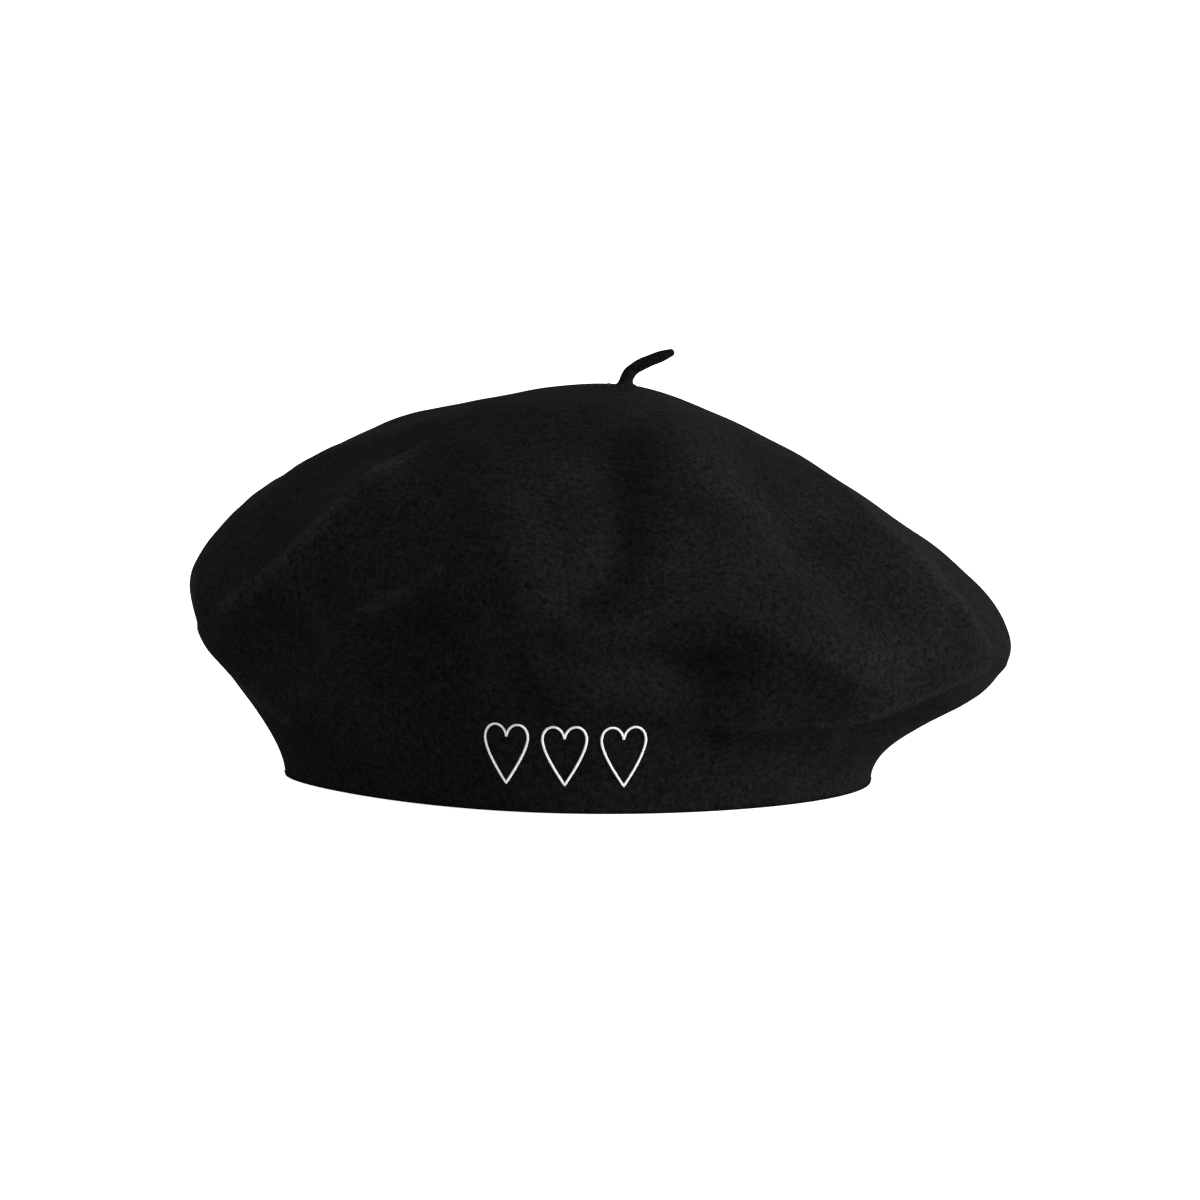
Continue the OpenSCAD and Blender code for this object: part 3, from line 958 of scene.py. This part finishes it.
def bump(mat, bsdf, height, strength, distance):
    node = mat.node_tree.nodes.new("ShaderNodeBump")
    node.inputs["Strength"].default_value = strength
    node.inputs["Distance"].default_value = distance
    mat.node_tree.links.new(height, node.inputs["Height"])
    mat.node_tree.links.new(node.outputs["Normal"], bsdf.inputs["Normal"])


def wool_felt():
    mat, bsdf = shader("wool_felt", 0.95, sheen=0.002, sheen_roughness=0.4)
    bsdf.inputs["Specular IOR Level"].default_value = 0.01
    group = mat.node_tree.nodes.new("ShaderNodeGroup")
    group.node_tree = FELT_GROUP
    mat.node_tree.links.new(group.outputs["Color"], bsdf.inputs["Base Color"])
    bump(mat, bsdf, group.outputs["Height"], 0.6, 0.4 * MM)
    return mat


def woven(name, light, dark, roughness, across, around_it, strength=0.5, sheen=0.1):
    """Cloth of crossed threads: two fine waves at a right angle under a little noise."""
    mat, bsdf = shader(name, roughness, sheen=sheen)
    nodes, links = mat.node_tree.nodes, mat.node_tree.links
    coords = nodes.new("ShaderNodeTexCoord")
    waves = []
    for direction, scale in zip(("X", "Z"), (across, around_it)):
        wave = nodes.new("ShaderNodeTexWave")
        wave.bands_direction = direction
        wave.inputs["Scale"].default_value = scale
        wave.inputs["Distortion"].default_value = 0.6
        links.new(coords.outputs["Object"], wave.inputs["Vector"])
        waves.append(wave)
    noise = nodes.new("ShaderNodeTexNoise")
    noise.inputs["Scale"].default_value = 900
    links.new(coords.outputs["Object"], noise.inputs["Vector"])
    cross = nodes.new("ShaderNodeMath")
    cross.operation = "MULTIPLY"
    links.new(waves[0].outputs["Fac"], cross.inputs[0])
    links.new(waves[1].outputs["Fac"], cross.inputs[1])
    total = nodes.new("ShaderNodeMath")
    total.operation = "MULTIPLY_ADD"
    links.new(noise.outputs["Fac"], total.inputs[0])
    total.inputs[1].default_value = 0.7
    links.new(cross.outputs[0], total.inputs[2])
    tint = nodes.new("ShaderNodeMix")
    tint.data_type = "RGBA"
    tint.inputs[6].default_value = dark
    tint.inputs[7].default_value = light
    links.new(total.outputs[0], tint.inputs["Factor"])
    links.new(tint.outputs[2], bsdf.inputs["Base Color"])
    bump(mat, bsdf, total.outputs[0], strength, 0.15 * MM)
    return mat


def thread(name, light, dark, sheen):
    mat, bsdf = shader(name, 0.6, sheen=sheen)
    nodes, links = mat.node_tree.nodes, mat.node_tree.links
    coords = nodes.new("ShaderNodeTexCoord")
    noise = nodes.new("ShaderNodeTexNoise")
    noise.inputs["Scale"].default_value = 1500
    links.new(coords.outputs["Object"], noise.inputs["Vector"])
    tint = nodes.new("ShaderNodeMix")
    tint.data_type = "RGBA"
    tint.inputs[6].default_value = dark
    tint.inputs[7].default_value = light
    links.new(noise.outputs["Fac"], tint.inputs["Factor"])
    links.new(tint.outputs[2], bsdf.inputs["Base Color"])
    bump(mat, bsdf, noise.outputs["Fac"], 0.3, 0.1 * MM)
    return mat


def dress(obj, mat):
    obj.data.materials.clear()
    obj.data.materials.append(mat)


# ---- Camera, floor and light ----


def only_seen(tree, strength, seen, lighting):
    """A strength that is one number to the camera and another to the light that falls on things."""
    path = tree.nodes.new("ShaderNodeLightPath")
    mix = tree.nodes.new("ShaderNodeMix")
    mix.inputs[2].default_value = lighting
    mix.inputs[3].default_value = seen
    tree.links.new(path.outputs["Is Camera Ray"], mix.inputs[0])
    tree.links.new(mix.outputs[0], strength)


def stage():
    pitch = math.radians(6)
    distance = 5
    across = 0.386             # what the view takes in at the hat
    aim = Vector((7.1 * MM, 0, 58.5 * MM))
    cam_data = bpy.data.cameras.new("camera")
    cam_data.sensor_width = 36
    cam_data.lens = 36 * distance / across
    cam = bpy.data.objects.new("camera", cam_data)
    cam.location = aim + distance * Vector((0, -math.cos(pitch), math.sin(pitch)))
    cam.rotation_euler = (math.pi / 2 - pitch, 0, 0)
    bpy.context.scene.collection.objects.link(cam)
    bpy.context.scene.camera = cam

    bm = bmesh.new()
    bmesh.ops.create_grid(bm, x_segments=2, y_segments=2, size=25)
    floor = new_object("floor", bm, smooth=False)
    mat, bsdf = shader("pale_floor", 0.9)
    bsdf.inputs["Base Color"].default_value = (0.8, 0.8, 0.8, 1)
    bsdf.inputs["Specular IOR Level"].default_value = 0
    bsdf.inputs["Emission Color"].default_value = (1, 1, 1, 1)
    only_seen(mat.node_tree, bsdf.inputs["Emission Strength"], 1.0, 0.0)
    dress(floor, mat)

    world = bpy.data.worlds.new("studio")
    world.use_nodes = True
    background = world.node_tree.nodes["Background"]
    background.inputs["Color"].default_value = (1, 1, 1, 1)
    only_seen(world.node_tree, background.inputs["Strength"], 1.0, 0.64)
    bpy.context.scene.world = world

    def sun(name, source, strength, spread):
        data = bpy.data.lights.new(name, "SUN")
        data.energy = strength
        data.angle = math.radians(spread)
        lamp = bpy.data.objects.new(name, data)
        lamp.rotation_euler = (-Vector(source)).to_track_quat("-Z", "Y").to_euler()
        bpy.context.scene.collection.objects.link(lamp)

    sun("key", (1.0, -0.25, 0.02), 6.2, 14)
    sun("behind_right", (0.9, 0.42, 0.1), 0.9, 25)
    sun("upper_right", (0.8, -0.3, 0.55), 1.2, 25)
    sun("left", (-1.0, -0.1, 0.04), 0.6, 20)
    sun("top", (0.1, -0.15, 1.0), 0.4, 60)
    bpy.context.scene.view_settings.view_transform = "Standard"


# ---- The hat ----

stage()
felt = wool_felt()
white = thread("white_thread", (0.95, 0.95, 0.93, 1), (0.7, 0.7, 0.68, 1), 0.3)

shell = felt_shell()
dress(shell, felt)
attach(shell, "hat")
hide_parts("felt_body")

tail = tail_piece()
dress(tail, felt)
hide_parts("felt_tail")
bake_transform(tail)

for place, side in ((-1, "left"), (0, "middle"), (1, "right")):
    heart = heart_piece(f"stitched_heart_{side}", place)
    dress(heart, white)
    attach(heart, "hat")
    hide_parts(f"heart_{side}")

grosgrain = woven(
    "grosgrain", (0.016, 0.016, 0.017, 1), (0.006, 0.006, 0.0065, 1), 0.6, 700, 2400, sheen=0.02
)
black = thread("black_thread", (0.009, 0.009, 0.0095, 1), (0.004, 0.004, 0.0042, 1), 0.01)
fleece = woven("torn_fleece", (0.11, 0.11, 0.11, 1), (0.05, 0.05, 0.05, 1), 0.9, 260, 310)
tape = woven("label_tape", (0.82, 0.81, 0.77, 1), (0.6, 0.59, 0.55, 1), 0.5, 900, 1500)

ring = 2 * math.pi - JOIN_GAP / BAND_R
band = ribbon("ribbon_band", BAND_R, BAND_OUT, BAND_FOOT, BAND_TOP, FRONT, ring)
join_low, join_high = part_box("band_join")
patch_r = BAND_OUT + 0.15 * MM
patch = ribbon(
    "ribbon_patch", patch_r, patch_r + 0.5 * MM, join_low.z, join_high.z, BACK,
    (join_high.x - join_low.x) / patch_r,
)

HIDDEN = [
    (band, "sweatband", "grosgrain_ribbon", grosgrain, "hat"),
    (patch, "band_join", "grosgrain_ribbon", grosgrain, "hat"),
    (band_stitch_row(), "band_stitches", "black_thread", black, "hat"),
    (tail_sewing(), "tail_stitches", "black_thread", black, "hat"),
    (darned_knot(), "tail_knot", "black_thread", black, "hat"),
    (stabiliser(), "embroidery_backing", "stabiliser", fleece, "hat"),
    (label_sewing(), "label_stitches", "black_thread", black, "hat"),
    (folded_label(), "care_label", "label_cloth", tape, "label"),
]
for piece, node, slot, mat, body in HIDDEN:
    dress(piece, mat)
    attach(piece, body)
    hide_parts(node)
